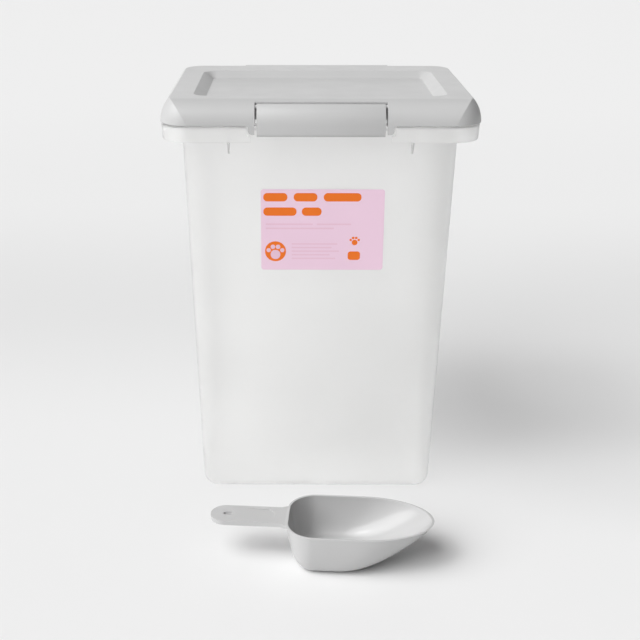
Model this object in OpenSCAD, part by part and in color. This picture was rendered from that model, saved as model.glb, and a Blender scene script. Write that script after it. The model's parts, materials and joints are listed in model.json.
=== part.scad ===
// Pet food bin: tapered translucent tub, hinged lid with a seal and a front latch, label and scoop.
// Millimetres. X is across the bin, the front faces -Y, Z is up, and the origin is the
// middle of the tub's base on the floor.

/* [Tub] */
// Outside width of the tub wall at the rim
tub_w = 286; // [230:1:340]
// Outside depth of the tub wall at the rim
tub_d = 217; // [170:1:270]
// Height of the rim's flange above the floor
rim_z = 424.5; // [300:0.5:520]
// How far each wall comes in from the rim to the floor
tub_taper = 14; // [6:1:18]
// Corner radius of the tub wall at the rim
tub_corner_r = 32; // [28:1:44]
// Wall thickness of the tub
tub_wall = 2.2; // [1.6:0.1:3]
// Thickness of the tub's floor
floor_t = 2.6; // [2:0.1:4]
// Rounding between the wall and the floor
base_round = 13; // [8:1:16]
// Depth of the hollow under the floor
foot_h = 1.2; // [0.8:0.1:2]
// Width of the flat ring that the tub stands on
foot_w = 3; // [2:0.5:5]
// Height of the wall's edge above the flange, which meets the seal
upstand_h = 9; // [7:0.5:12]

/* [Rim] */
// How far the flange stands out from the tub wall
flange_out = 18.5; // [14:0.5:24]
// Corner radius of the flange
flange_r = 29; // [22:1:36]
// Thickness of the flange and of its skirt
flange_t = 2.2; // [1.8:0.1:3]
// Height of the skirt that hangs from the flange
skirt_h = 16.5; // [12:0.5:22]
// Distance of each front stiffening rib from the middle
rib_x = 93; // [84:1:105]
// Distance of each side stiffening rib from the middle
rib_y = 58; // [30:1:64]
// Height of a stiffening rib below the flange
rib_h = 30; // [20:1:40]
// Thickness of a stiffening rib
rib_t = 2; // [1.5:0.1:3]

/* [Lid] */
// How far the lid's edge stands out past the flange
lid_over = 1; // [0.5:0.1:2]
// Height of the lid from its lower edge to its top
lid_h = 24; // [20:0.5:30]
// Gap between the flange and the lid's lower edge
lid_gap = 0.5; // [0.3:0.1:1]
// Wall thickness of the lid
lid_wall = 2.4; // [1.8:0.1:3]
// Radius of the curved sides and back
side_curve_r = 35; // [32:1:60]
// Rounding of the top's outer edge
top_round = 2.5; // [1:0.5:4]
// Width of the sunk panel in the lid's top
panel_w = 260; // [190:1:270]
// Depth, front to back, of the sunk panel
panel_d = 167; // [120:1:175]
// How far the sunk panel's middle sits behind the tub's middle
panel_y = -6.5; // [-10:0.5:6]
// Corner radius of the sunk panel at the top
panel_r = 14; // [12:1:24]
// How far the panel is sunk
panel_sink = 7; // [4:0.5:9]
// Run of the slope round the panel
panel_slope = 11.5; // [6:0.5:11.5]
// Rounding where the slope meets the top and the panel's floor
panel_edge = 2.5; // [1:0.5:3]
// Rounding of the lid's lower outer edge
lip_round = 0.8; // [0.4:0.1:1.2]
// Width of the raised land behind the latch
land_w = 115; // [80:1:130]
// How far the land reaches into the panel
land_d = 14; // [8:1:20]

/* [Seal] */
// Width of the seal and of its channel
seal_w = 4.4; // [3.5:0.1:6]
// Height of the seal
seal_h = 5; // [4:0.5:7]
// Gap between the seal and the tub's edge
seal_gap = 0.3; // [0.3:0.1:1]
// Thickness of the ribs beside the seal
seal_rib_t = 2; // [1.5:0.1:3]
// Gap between the outer rib and the tub's edge
seal_side_gap = 1.1; // [0.6:0.1:2]

/* [Latch] */
// Width of the latch
latch_w = 128; // [90:1:140]
// Thickness of the latch
latch_t = 2.6; // [2:0.1:3.5]
// Gap on each side of the latch
latch_slit = 2.2; // [1:0.1:3]
// Radius of the latch's barrel
barrel_r = 3; // [2.8:0.1:4]
// Radius of the latch's trunnions
trunnion_r = 2.2; // [1.6:0.1:2.5]
// Width of the lid's bearing plate beside the latch
bearing_t = 3; // [2.5:0.1:4]
// Height of the latch below the lid's lower edge
latch_drop = 11; // [9:0.5:14]
// Gap between the latch's inner face and the tub's catch
catch_gap = 0.8; // [0.5:0.1:1.5]
// How far the hook reaches under the catch
hook_grip = 2.6; // [1.5:0.1:3]
// Gap between the hook and the catch above it
hook_gap = 0.4; // [0.3:0.1:0.8]
// Width of each guard beside the latch
guard_w = 6.5; // [5:0.5:8]
// Height of each guard below the lid's lower edge
guard_h = 8.5; // [6:0.5:10]
// Gap between a guard and the tub's rim around it
guard_gap = 1.8; // [1:0.1:3]

/* [Hinge] */
// Length of the hood over the hinge
hood_l = 168; // [140:1:190]
// Radius of the lid's knuckles
knuckle_r = 5.2; // [4.5:0.1:6]
// Radius of the hinge pins
hinge_pin_r = 2.5; // [2:0.1:3]
// Distance from the middle to the middle of each knuckle
knuckle_x = 62; // [50:1:68]
// Width of each knuckle
knuckle_w = 23; // [16:1:28]
// Thickness of each hinge ear
ear_t = 4; // [3:0.5:5]
// Gap between an ear and its knuckle
ear_gap = 0.5; // [0.3:0.1:1]
// Height of the hinge axis below the flange
hinge_drop = 5.5; // [5:0.5:7]
// Angle at which the open lid meets its stop, in degrees
open_angle = 110; // [95:1:120]
// Radial clearance of a pin or trunnion in its hole
running_gap = 0.05; // [0.03:0.01:0.09]

/* [Label] */
// Width of the label
label_w = 128; // [80:1:150]
// Height of the label
label_h = 88; // [60:1:120]
// Distance of the label's middle below the rim
label_drop = 112.5; // [90:0.5:200]
// Distance of the label's middle to the right of the bin's middle
label_x = 3; // [-20:1:20]
// Thickness of the label
label_t = 0.4; // [0.3:0.1:0.6]

/* [Scoop] */
// Place of the scoop's bowl across the bin
scoop_x = 20; // [-40:1:60]
// Distance from the tub's middle forward to the scoop's bowl
scoop_y = 235; // [225:1:320]
// Turn of the scoop on the floor, in degrees
scoop_turn = -4; // [-20:1:20]
// Height of the scoop's rim above the floor
scoop_h = 46; // [36:1:60]
// Radius of the round end of the bowl
bowl_r = 44; // [34:1:54]
// Wall thickness of the scoop
bowl_wall = 2.2; // [1.6:0.1:3]
// Length of the bowl from its round end to its pouring tip
bowl_l = 141; // [130:1:180]
// Length of the handle beyond the bowl
handle_l = 88; // [60:1:110]
// Width of the handle
handle_w = 32; // [24:1:38]
// Thickness of the handle
handle_t = 5; // [4:0.5:7]

/* [Hidden] */
$fn = 96;
arc_n = 12;                                   // steps in each drawn arc
skin = 0.05;                                  // overlap that joins the label to the wall
slice_t = 0.5;                                // thickness of the bowl's drawn outlines
big = 600;
frost = [0.93, 0.94, 0.94, 0.45];
grey = [0.78, 0.78, 0.78];

// Tub: the corners' centres stay put, and the walls lean out round them
base_r = tub_corner_r - tub_taper;
foot_round = min(base_round, base_r - 1);
lean = tub_taper / rim_z;
lean_angle = atan(lean);
spine_w = tub_w - 2 * tub_corner_r;
spine_d = tub_d - 2 * tub_corner_r;
foot_out = base_r - foot_round - foot_w;      // from the corners' middles to the foot ring's inner edge
wall_run = tub_wall / cos(lean_angle);
upstand_z = rim_z + upstand_h;
upstand_r = base_r + lean * upstand_z;        // outer corner radius at the top edge

// Rim flange
flange_w = tub_w + 2 * flange_out;
flange_d = tub_d + 2 * flange_out;

// Lid
lid_w = flange_w + 2 * lid_over;
lid_d = flange_d + 2 * lid_over;
lid_r = flange_r + lid_over;
lid_z = rim_z + lid_gap;
top_z = lid_z + lid_h;
front_skim = 0.05;                            // the front curve cuts this far into the swept sides
front_crest = 0.1;                            // and rises this far past the top, so that both cut cleanly
front_r = lid_h + front_crest;                // radius of the front curve
front_y = front_skim - lid_d / 2;
back_y = lid_d / 2;
curve_x = lid_r - side_curve_r;               // middle of the side curve, from the corner's middle

// Seal channel, measured out from the tub's corner middles
seal_in = upstand_r - tub_wall / 2 - seal_w / 2;
seal_out = seal_in + seal_w;
rib_in = max(seal_out, upstand_r + seal_side_gap);
rib_out = rib_in + seal_rib_t;
seal_z = upstand_z + seal_gap;

// Latch: its barrel lies inside the front curve, just ahead of the seal's outer rib
barrel_gap = 0.6;
pivot_y = -(spine_d / 2 + rib_out + barrel_gap + barrel_r + 0.5);
curve_y = front_y + front_r;                  // middle of the front curve
barrel_way = front_r - barrel_r;
pivot_z = lid_z + sqrt(pow(barrel_way, 2) - pow(pivot_y - curve_y, 2));
tangent_angle = atan2(pivot_z - lid_z, pivot_y - curve_y);
pocket_w = latch_w + 2 * latch_slit;
latch_low = lid_z - latch_drop;
catch_y = front_y + latch_t + catch_gap;      // outer face of the tub's catch
hook_r = (catch_y + hook_grip - front_y) / 2; // rolled lower edge of the latch
hook_y = front_y + hook_r;
hook_z = latch_low + hook_r;
catch_z = hook_z + hook_r + hook_gap;         // lower edge of the tub's catch
trunnion_l = bearing_t + latch_slit - 0.3;
notch_w = pocket_w + 2 * (guard_w + guard_gap);

// Hinge
knuckle_gap = 1.3;
hinge_y = flange_d / 2 + knuckle_gap + knuckle_r;
hinge_z = rim_z - hinge_drop;
ear_x = knuckle_w / 2 + ear_gap;
hood_y = hinge_y + knuckle_r;
hood_round = 16;
hood_low = lid_z + 1;
bracket_l = 2 * (ear_x + ear_t);
stop_t = 3;
stop_drop = knuckle_r + 2.8;                  // from the hinge axis down to the stop
stop_gap = 0.4;
stop_reach = (stop_drop * sin(open_angle) - knuckle_r - stop_gap) / -cos(open_angle);

// A drawn arc from angle a to angle b
function arc(x, y, r, a, b) = [for (i = [0:arc_n]) [x + r * cos(a + (b - a) * i / arc_n),
                                                    y + r * sin(a + (b - a) * i / arc_n)]];

// Section of a leaning wall with a rounded foot, from the corner's middle outwards
function wall_section(r, foot, low, high) =
    let (cx = r + lean * (low + foot) - foot / cos(lean_angle))
    concat([[0, low]], arc(cx, low + foot, foot, -90, -lean_angle), [[r + lean * high, high], [0, high]]);

// Section of the lid's side: up from the lower edge in a curve to a rounded top edge.
// The outer form has a rounded lip, and the hollow inside it starts low below the edge.
function lid_section(inset, edge, low) =
    let (r = side_curve_r - inset, top = lid_h - inset,
         ex = curve_x + sqrt(pow(r - edge, 2) - pow(top - edge, 2)),
         turn = asin((top - edge) / (r - edge)))
    concat([[0, low]],
           low < 0 ? [[curve_x + r, low], [curve_x + r, 0]]
                   : arc(curve_x + r - lip_round, lip_round, lip_round, -90, 0),
           arc(curve_x, 0, r, asin(lip_round / r) + 1, turn), arc(ex, top - edge, edge, turn, 90), [[0, top]]);

// Section of the sloping side of the sunk panel, with its edges rounded. It rises crest above
// the top, so that the rounding crosses the top cleanly.
function panel_section() =
    let (slope = atan2(panel_sink, panel_slope), r = panel_r - panel_slope, half = tan(slope / 2) * panel_edge,
         crest = 0.05)
    concat([[0, -panel_sink]],
           arc(r - half, panel_edge - panel_sink, panel_edge, -90, slope - 90),
           arc(panel_r + half, crest - panel_edge, panel_edge, 90 + slope, 95),
           [[panel_r + half, panel_sink], [0, panel_sink]]);

// The same for the panel's underside, a wall's thickness away
function panel_under_section() =
    let (r = panel_r - panel_slope + lid_wall)
    [[0, -panel_sink - lid_wall], [r, -panel_sink - lid_wall],
     [r + panel_slope * 2, panel_sink], [0, panel_sink]];

// Sweeps a section round a rectangle whose corner middles are w by d apart
module round_sweep(w, d) {
    for (i = [0:3]) {
        sx = (i == 0 || i == 3) ? 1 : -1;
        sy = i < 2 ? 1 : -1;
        translate([sx * w / 2, sy * d / 2, 0])
            rotate([0, 0, 90 * i])
                rotate_extrude(angle = 90) children();
        reach = i % 2 == 0 ? w / 2 : d / 2;
        run = i % 2 == 0 ? d : w;
        rotate([0, 0, 90 * i])
            translate([reach, 0, 0])
                rotate([90, 0, 0])
                    linear_extrude(height = run, center = true) children();
    }
}

// The same, filled in the middle from low to high
module round_block(w, d, low, high) {
    round_sweep(w, d) children();
    translate([-w / 2, -d / 2, low]) cube([w, d, high - low]);
}

// A shape drawn in Y and Z, l long across X and centred on x
module across(x, l) {
    translate([x - l / 2, 0, 0])
        rotate([90, 0, 90])
            linear_extrude(height = l) children();
}

module mirrored() {
    children();
    mirror([1, 0, 0]) children();
}

// ---- Tub ----

module tub_outside() {
    round_block(spine_w, spine_d, 0, upstand_z)
        polygon(wall_section(base_r, foot_round, 0, upstand_z));
}

module tub_inside() {
    low = floor_t + foot_h;
    round_block(spine_w, spine_d, low, upstand_z + 1)
        polygon(wall_section(base_r - wall_run, foot_round - tub_wall, low, upstand_z + 1));
}

module foot_hollow() {
    r = 6;
    w = spine_w + 2 * (foot_out - r);
    d = spine_d + 2 * (foot_out - r);
    translate([0, 0, -1])
        round_block(w, d, 0, foot_h + 1)
            square([r, foot_h + 1]);
}

module flange() {
    inner_r = flange_r - flange_t;
    low = rim_z - skirt_h;
    fw = flange_w - 2 * flange_r;
    fd = flange_d - 2 * flange_r;
    round_block(fw, fd, rim_z - flange_t, rim_z)
        translate([0, rim_z - flange_t]) square([flange_r, flange_t]);
    round_sweep(fw, fd)
        polygon([[inner_r - 1, low], [flange_r - 1, low], [flange_r, rim_z - flange_t],
                 [flange_r, rim_z - 1], [inner_r, rim_z - 1], [inner_r, rim_z - flange_t]]);
}

// A tapering rib under the flange, standing out along +X from a wall at x
module flange_rib(x) {
    inner = flange_out - flange_t;            // from the wall to the skirt's inner face
    knee = 0.55 * inner;                      // where the slant turns level
    bite = 0.5;                               // how far the rib runs into its neighbours
    foot_z = rim_z - rib_h - flange_t;
    foot_x = -rib_h * lean;
    top = rim_z - flange_t / 2;
    translate([x, rib_t / 2, 0])
        rotate([90, 0, 0])
            linear_extrude(height = rib_t)
                polygon([[foot_x - 2 * bite, foot_z], [foot_x, foot_z],
                         [knee, rim_z - skirt_h], [inner + bite, rim_z - skirt_h + 4 * bite],
                         [inner + bite, top], [foot_x - 2 * bite, top]]);
}

module flange_ribs() {
    for (a = [90, 270], x = [-rib_x, rib_x])
        translate([x, 0, 0]) rotate([0, 0, a]) flange_rib(tub_d / 2);
    for (a = [0, 180], y = [-rib_y, rib_y])
        translate([0, y, 0]) rotate([0, 0, a]) flange_rib(tub_w / 2);
}

// The gap in the front skirt for the latch and its guards
module latch_notch() {
    narrow = pocket_w / 2 + 4;
    low = rim_z - skirt_h - 5;
    step_z = lid_z - guard_h - guard_gap;
    deep = 10 + catch_y - front_y;
    translate([-notch_w / 2, front_y - 10, step_z]) cube([notch_w, deep, big]);
    translate([-narrow, front_y - 10, low]) cube([2 * narrow, deep, big]);
    translate([-narrow, front_y - 10, low]) cube([2 * narrow, deep + flange_t, catch_z - low]);
}

// The catch's own skirt along the back of the notch
module latch_catch() {
    translate([-notch_w / 2, catch_y, catch_z]) cube([notch_w, flange_t, rim_z - catch_z]);
}

module hinge_bracket() {
    low = hinge_z - stop_drop - stop_t;
    sunk = 1.5;                               // how far the bracket reaches into the skirt
    skin_y = flange_d / 2 - sunk;
    ear_outline_w = hinge_y - skin_y;
    for (s = [-1, 1])
        across(knuckle_x + s * (ear_x + ear_t / 2), ear_t) {
            translate([hinge_y, hinge_z]) circle(r = knuckle_r - 0.2);
            translate([skin_y, low]) square([ear_outline_w, hinge_z - low]);
            translate([skin_y, hinge_z - 1]) square([ear_outline_w, 3]);
        }
    translate([knuckle_x - bracket_l / 2, skin_y, low])
        cube([bracket_l, ear_outline_w + stop_reach, stop_t]);
}

module gate_mark() {
    translate([0, 0, foot_h - 0.6])
        difference() {
            cylinder(r = 9, h = 1);
            translate([0, 0, -1]) cylinder(r = 7.5, h = 3);
        }
    translate([0, 0, foot_h - 0.8]) cylinder(r = 1.6, h = 1);
}

// The walls and the floor
module tub() {
    color(frost)
    union() {
        difference() {
            tub_outside();
            tub_inside();
            foot_hollow();
        }
        gate_mark();
    }
}

// The flange round the walls, with its skirt, ribs, latch catch and hinge ears
module tub_rim() {
    color(frost)
    difference() {
        union() {
            difference() {
                flange();
                latch_notch();
            }
            latch_catch();
            flange_ribs();
            mirrored() hinge_bracket();
        }
        tub_outside();
        mirrored()
            translate([knuckle_x - bracket_l, hinge_y, hinge_z])
                rotate([0, 90, 0]) cylinder(r = hinge_pin_r, h = 2 * bracket_l);
    }
}

module hinge_pins() {
    head_t = 1.5;
    color(grey)
    mirrored()
        translate([knuckle_x - bracket_l / 2, hinge_y, hinge_z])
            rotate([0, 90, 0]) {
                cylinder(r = hinge_pin_r, h = bracket_l);
                translate([0, 0, bracket_l]) cylinder(r = knuckle_r - 1.2, h = head_t);
            }
}

module label() {
    r = 3;
    wall_y = -(spine_d / 2 + base_r);
    color([0.95, 0.8, 0.9])
    translate([0, wall_y, 0])
        rotate([90 + lean_angle, 0, 0])
            translate([label_x, (rim_z - label_drop) / cos(lean_angle), -skin])
                linear_extrude(height = label_t + skin) {
                    square([label_w - 2 * r, label_h], center = true);
                    square([label_w, label_h - 2 * r], center = true);
                    for (x = [-1, 1], y = [-1, 1])
                        translate([x * (label_w / 2 - r), y * (label_h / 2 - r)]) circle(r = r);
                }
}

// ---- Lid ----

// The lid's outer form, or with an inset the hollow inside it, which starts low below the lid's edge
module lid_form(inset, edge, low) {
    difference() {
        translate([0, 0, lid_z])
            round_block(lid_w - 2 * lid_r, lid_d - 2 * lid_r, low, lid_h - inset)
                polygon(lid_section(inset, edge, low));
        across(0, 2 * lid_w)
            difference() {
                translate([front_y - lid_h, lid_z - lid_h]) square([front_r + lid_h, 3 * lid_h]);
                translate([curve_y, lid_z]) circle(r = front_r - inset);
                translate([curve_y - front_r + inset, lid_z - 2 * lid_h]) square([front_r, 2 * lid_h]);
            }
    }
}

// The sunk panel's space, or with a section of its own its underside
module panel_form(deep) {
    translate([0, panel_y, top_z])
        round_block(panel_w - 2 * panel_r, panel_d - 2 * panel_r, -deep, panel_sink) children();
}

// The raised land behind the latch, which stays out of the sunk panel
module land(grow) {
    edge = panel_y - panel_d / 2;             // the panel's front edge
    half = land_w / 2 + grow;
    taper = 7;                                // how far each end slants in
    lead = 20;                                // how far the form runs out past the panel's edge
    slope = 5;
    end = edge + land_d + grow;
    foot_z = top_z - panel_sink - slope;
    intersection() {
        across(0, land_w + 2 * grow)
            polygon([[edge - lead, foot_z], [end + slope, foot_z], [end + slope, top_z - panel_sink - grow],
                     [end, top_z - grow], [end, top_z + big], [edge - lead, top_z + big]]);
        linear_extrude(height = big)
            polygon([[-half, edge - lead], [half, edge - lead], [half, edge], [half - taper, end + slope],
                     [taper - half, end + slope], [-half, edge]]);
    }
}

// The two ribs and the web that hold the seal. The ribs end halfway through the lid's wall
module seal_channel() {
    low_rib = 4.5;
    web = 2;
    reach = lid_h - lid_wall / 2;
    intersection() {
        round_sweep(spine_w, spine_d) {
            translate([rib_in, rim_z + low_rib]) square([seal_rib_t, lid_h]);
            translate([seal_in - seal_rib_t, seal_z + 2]) square([seal_rib_t, lid_h]);
            translate([seal_in - 1, seal_z + seal_h]) square([rib_in - seal_in + 2, web]);
        }
        across(0, lid_w) {
            translate([curve_y, lid_z]) circle(r = reach);
            translate([curve_y, lid_z]) square([lid_d, reach]);
        }
    }
}

// The hinge hood's outline, smaller by inset
module hood_outline(inset) {
    r = hood_round - inset;
    cy = hood_y - hood_round;
    cz = top_z - hood_round;
    lead = 6;                                 // level stretch before the hood's round edge
    translate([cy, cz]) circle(r = r);
    translate([cy - lead, cz]) square([lead, r]);
    translate([cy, hood_low - inset]) square([r, cz - hood_low + inset]);
}

// The hood joins the lid's flat top well inside the rounding of its back edge
module hood() {
    join_y = back_y - 13;
    space_y = back_y;
    difference() {
        across(0, hood_l)
            intersection() {
                hood_outline(0);
                translate([join_y, hood_low]) square(big);
            }
        across(0, hood_l - 2 * lid_wall)
            intersection() {
                hood_outline(lid_wall);
                translate([space_y, hood_low - 2 * lid_wall]) square(big);
            }
    }
}

module knuckle_arm() {
    across(knuckle_x, knuckle_w) {
        translate([hinge_y, hinge_z]) circle(r = knuckle_r);
        translate([hinge_y - knuckle_r, hinge_z]) square([2 * knuckle_r, hood_low - hinge_z + 1]);
        intersection() {
            hood_outline(1);
            translate([hinge_y - knuckle_r, hood_low - 0.5]) square(big);
        }
    }
}

// The plate beside the latch that carries a trunnion, with the guard below it
module latch_bearing() {
    nose = 4;
    neck = guard_gap - 0.4;
    guard_t = catch_y - front_y - 0.5;
    across(pocket_w / 2 + bearing_t / 2, bearing_t)
        intersection() {
            translate([curve_y, lid_z]) circle(r = front_r - 1);
            translate([front_y, lid_z]) square([pivot_y + 5 - front_y, lid_h]);
        }
    translate([pocket_w / 2, front_y + guard_t, lid_z])
        rotate([90, 0, 0])
            linear_extrude(height = guard_t) {
                translate([0, nose - guard_h]) square([guard_w, guard_h - nose + 1]);
                translate([0, -guard_h]) square([guard_w - nose, nose]);
                translate([guard_w - nose, nose - guard_h]) circle(r = nose);
                difference() {
                    translate([guard_w - 0.01, -neck]) square([neck, neck + 1]);
                    translate([guard_w + neck, -neck]) circle(r = neck);
                }
            }
}

// Everything that the latch's pocket takes out of the lid
module latch_pocket() {
    step = 2.2;
    across(0, pocket_w) {
        translate([pivot_y, pivot_z]) circle(r = barrel_r + barrel_gap);
        translate([front_y - 5, lid_z - 20]) square([pivot_y + barrel_r + barrel_gap - front_y + 5,
                                                     pivot_z - lid_z + 20]);
        translate([front_y - 5, pivot_z - 1]) square([pivot_y + step - front_y + 5, big]);
    }
}

module lid() {
    color(grey)
    difference() {
        union() {
            difference() {
                lid_form(0, top_round, 0);
                difference() {
                    lid_form(lid_wall, 1, -1);
                    difference() {
                        panel_form(panel_sink + lid_wall) polygon(panel_under_section());
                        land(-lid_wall);
                    }
                }
            }
            seal_channel();
            hood();
            mirrored() knuckle_arm();
            mirrored() latch_bearing();
        }
        difference() {
            panel_form(panel_sink) polygon(panel_section());
            land(0);
        }
        latch_pocket();
        across(0, pocket_w + 2 * bearing_t + 1)
            translate([pivot_y, pivot_z]) circle(r = trunnion_r + running_gap);
        mirrored()
            translate([knuckle_x - bracket_l / 2, hinge_y, hinge_z])
                rotate([0, 90, 0]) cylinder(r = hinge_pin_r + running_gap, h = bracket_l);
    }
}

module lid_seal() {
    color([0.88, 0.88, 0.88])
    round_sweep(spine_w, spine_d)
        translate([seal_in, seal_z]) square([seal_w, seal_h]);
}

// ---- Latch ----

module latch() {
    inner = front_r - latch_t;
    color(grey) {
        across(0, latch_w) {
            difference() {
                union() {
                    translate([curve_y, lid_z]) circle(r = front_r);
                    translate([front_y, hook_z]) square([lid_h, lid_z - hook_z]);
                }
                translate([curve_y, lid_z]) circle(r = inner);
                translate([curve_y - inner, hook_z - lid_h]) square([2 * lid_h, lid_z - hook_z + lid_h]);
                translate([curve_y, lid_z])
                    rotate(tangent_angle) translate([-big, -big]) square([2 * big, big]);
                translate([front_y - big, hook_z - big]) square([2 * big, big]);
            }
            translate([pivot_y, pivot_z]) circle(r = barrel_r);
            translate([hook_y, hook_z]) circle(r = hook_r);
        }
        across(0, latch_w + 2 * trunnion_l)
            translate([pivot_y, pivot_z]) circle(r = trunnion_r);
    }
}

// ---- Scoop ----

// A filled outline of the bowl at one height, r round the body and tip at the pouring end
module bowl_slice(z, r, reach, tip) {
    translate([0, 0, z]) cylinder(r = r, h = slice_t, $fn = 64);
    translate([reach, 0, z]) cylinder(r = tip, h = slice_t, $fn = 32);
}

// The bowl's outside, or the hollow inside it when inset is the wall
module bowl_form(inset) {
    tip_r = 14;
    tip_x = bowl_l - bowl_r - tip_r;
    side_x = 28;                              // how far the sides stay nearly parallel
    low = inset > 0 ? bowl_wall : 0;
    high = scoop_h - slice_t + (inset > 0 ? 1 : 0);
    // For each outline below the rim: its height, how far in it is, and its reach towards the tip
    rings = [[14, 5, 6], [4, 9, 4], [0, 18, 4]];
    hull() {
        bowl_slice(high, bowl_r - inset, tip_x, tip_r - inset);
        translate([side_x, 0, high]) cylinder(r = bowl_r - 2 - inset, h = slice_t, $fn = 64);
        for (ring = rings)
            bowl_slice(low + ring[0], bowl_r - ring[1] - inset, ring[2], bowl_r - ring[1] - 1 - inset);
    }
}

module handle() {
    end_x = -bowl_r - handle_l + handle_w / 2;
    root_x = 8 - bowl_r;                      // where the handle ends inside the bowl's wall
    low = scoop_h - handle_t - 1;
    through = handle_t + 2;
    slot_l = 10;
    slot_w = 6;
    slot_x = end_x;                           // middle of the slot's outer round end
    thumb_w = handle_w - 10;
    thumb_x = end_x + 21;
    thumb_l = 29;
    thumb_z = low + handle_t - 0.8;
    flare_x = -bowl_r - 8;
    flare_w = handle_w + 16;
    difference() {
        union() {
            translate([end_x, 0, low]) cylinder(r = handle_w / 2, h = handle_t);
            translate([end_x, -handle_w / 2, low]) cube([root_x - end_x, handle_w, handle_t]);
            hull() {
                translate([flare_x, -handle_w / 2, low]) cube([1, handle_w, handle_t]);
                translate([root_x - 1, -flare_w / 2, low]) cube([1, flare_w, handle_t]);
            }
        }
        for (x = [slot_x, slot_x + slot_l - slot_w])
            translate([x, 0, low - 1]) cylinder(r = slot_w / 2, h = through);
        translate([slot_x, -slot_w / 2, low - 1]) cube([slot_l - slot_w, slot_w, through]);
        translate([thumb_x, 0, thumb_z]) cylinder(r = thumb_w / 2, h = 2);
        translate([thumb_x, -thumb_w / 2, thumb_z]) cube([thumb_l, thumb_w, 2]);
    }
}

module scoop() {
    color(grey)
    translate([scoop_x, -scoop_y, 0])
        rotate([0, 0, scoop_turn])
            difference() {
                union() {
                    bowl_form(0);
                    handle();
                }
                bowl_form(bowl_wall);
            }
}

tub();
tub_rim();
hinge_pins();
label();
lid();
lid_seal();
latch();
scoop();
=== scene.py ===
import bpy
import json
from math import atan2, cos, pi, radians, sin
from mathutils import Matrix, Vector


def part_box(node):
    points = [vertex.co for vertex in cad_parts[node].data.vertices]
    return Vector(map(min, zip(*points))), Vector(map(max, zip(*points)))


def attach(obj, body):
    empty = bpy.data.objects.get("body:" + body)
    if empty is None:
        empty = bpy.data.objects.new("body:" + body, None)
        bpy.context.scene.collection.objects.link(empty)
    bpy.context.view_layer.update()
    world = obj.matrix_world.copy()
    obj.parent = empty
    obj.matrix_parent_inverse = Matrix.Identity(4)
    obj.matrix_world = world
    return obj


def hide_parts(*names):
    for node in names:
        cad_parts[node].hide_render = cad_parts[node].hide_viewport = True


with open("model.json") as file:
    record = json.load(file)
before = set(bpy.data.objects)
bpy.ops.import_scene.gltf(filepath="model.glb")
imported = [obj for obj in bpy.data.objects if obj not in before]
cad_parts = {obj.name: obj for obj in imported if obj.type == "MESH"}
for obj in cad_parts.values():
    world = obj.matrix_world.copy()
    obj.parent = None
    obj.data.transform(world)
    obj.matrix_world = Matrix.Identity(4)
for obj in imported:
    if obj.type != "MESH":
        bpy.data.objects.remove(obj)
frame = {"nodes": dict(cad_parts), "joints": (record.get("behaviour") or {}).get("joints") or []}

bpy.context.view_layer.update()
nodes = frame["nodes"]
joints = {j["name"]: j for j in frame["joints"]}
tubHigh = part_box("tub")[1]
rimLow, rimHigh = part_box("tub_rim")
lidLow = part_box("lid")[0]
latchLow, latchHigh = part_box("latch")
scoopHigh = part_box("scoop")[1]
labelLow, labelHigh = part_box("label")
hingeAt = Vector(joints["lid_hinge"]["pos_m"])
latchAt = Vector(joints["latch_hinge"]["pos_m"])
near = 0.0001                # points this close to an edge or a level count as on it
over = 0.001                 # how far a cutting or joining shape runs on past the surface it meets
facing = 0.9                 # a normal at least this much along an axis faces that way


# small helpers for modelling

def deselectAll():
    if bpy.context.object and bpy.context.object.mode != "OBJECT":
        bpy.ops.object.mode_set(mode="OBJECT")
    bpy.ops.object.select_all(action="DESELECT")


def makeActive(piece):
    deselectAll()
    piece.select_set(True)
    bpy.context.view_layer.objects.active = piece


def applyPlace(piece):
    makeActive(piece)
    bpy.ops.object.transform_apply(location=True, rotation=True, scale=True)


def pickParts(piece, kind, chosen):     # leaves the piece in edit mode with only those parts selected
    mesh = piece.data
    for name, parts in (("corners", mesh.vertices), ("edges", mesh.edges), ("faces", mesh.polygons)):
        parts.foreach_set("select", chosen if name == kind else [False] * len(parts))
    bpy.context.tool_settings.mesh_select_mode = (kind == "corners", kind == "edges", kind == "faces")
    bpy.ops.object.mode_set(mode="EDIT")


def pickFaces(piece, test):     # the test gets a face's middle and its normal
    bpy.ops.object.mode_set(mode="OBJECT")
    pickParts(piece, "faces", [bool(test(f.center, f.normal)) for f in piece.data.polygons])


def pickEdges(piece, test):     # the test gets both ends
    bpy.ops.object.mode_set(mode="OBJECT")
    at = [v.co for v in piece.data.vertices]
    pickParts(piece, "edges", [bool(test(at[e.vertices[0]], at[e.vertices[1]])) for e in piece.data.edges])


def pickCorners(piece, test):
    bpy.ops.object.mode_set(mode="OBJECT")
    pickParts(piece, "corners", [bool(test(v.co)) for v in piece.data.vertices])


def bevelPicked(width, steps):
    bpy.ops.mesh.bevel(offset=width, segments=steps)
    bpy.ops.object.mode_set(mode="OBJECT")


def addPlate(name, low, high, z, radius, steps):     # a flat rounded plate, facing up
    deselectAll()
    middle = ((low[0] + high[0]) / 2, (low[1] + high[1]) / 2, z)
    bpy.ops.mesh.primitive_plane_add(size=1, location=middle)
    plate = bpy.context.object
    plate.name = name
    plate.scale = (high[0] - low[0], high[1] - low[1], 1)
    applyPlace(plate)
    bpy.ops.object.mode_set(mode="EDIT")
    bpy.ops.mesh.select_all(action="SELECT")
    bpy.ops.mesh.bevel(affect="VERTICES", offset=radius, segments=steps)
    return plate


def traceDown(profile):     # insets the face of the plate being edited along (inward, down) points
    bpy.ops.mesh.select_all(action="SELECT")
    bpy.ops.mesh.flip_normals()
    for (a, b), (c, d) in zip(profile, profile[1:]):
        bpy.ops.mesh.inset(thickness=max(0, c - a), depth=d - b, use_even_offset=True)


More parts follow.
